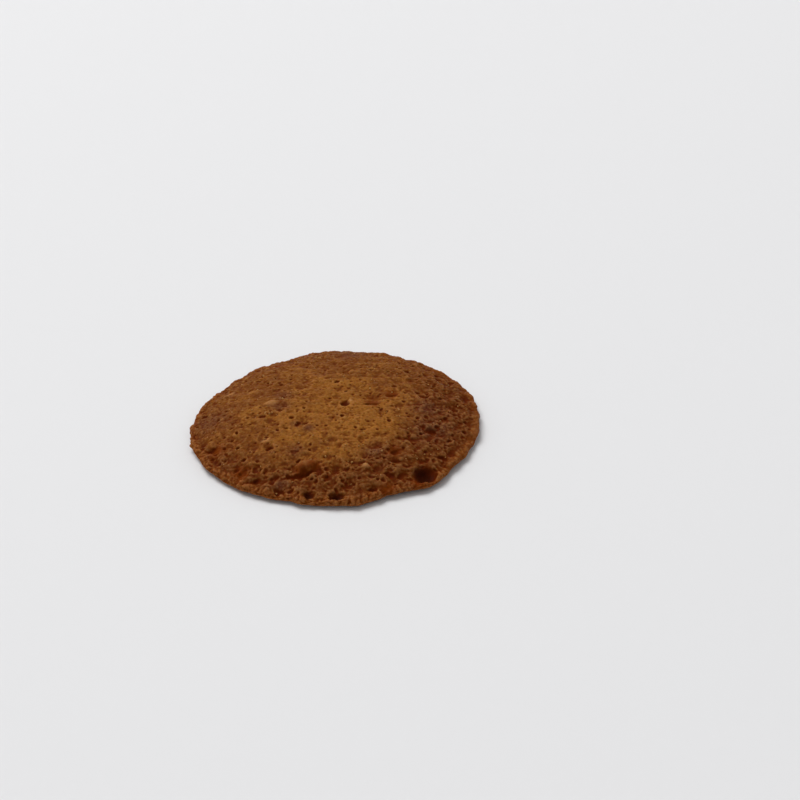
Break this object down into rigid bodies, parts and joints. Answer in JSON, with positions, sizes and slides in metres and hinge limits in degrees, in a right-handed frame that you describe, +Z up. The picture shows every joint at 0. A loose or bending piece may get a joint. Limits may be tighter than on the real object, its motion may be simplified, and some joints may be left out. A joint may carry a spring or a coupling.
{
  "type": "butter biscuit",
  "caption": "Thin round butter biscuit with a low crown, a pitted golden-brown top and a thin crumbly rim, lying on its flat underside.",
  "frame": {"origin": "on the underside, under the middle of the biscuit's bounding box", "axes": "+Z up out of the pitted top, -Y towards the side of the rim with the deepest craters, +X to the right seen from that side"},
  "size_m": [0.0644, 0.0646, 0.0063],
  "materials": {
    "crust": "matte"
  },
  "bodies": {
    "root": {"biscuit": "crust"}
  },
  "joints": []
}
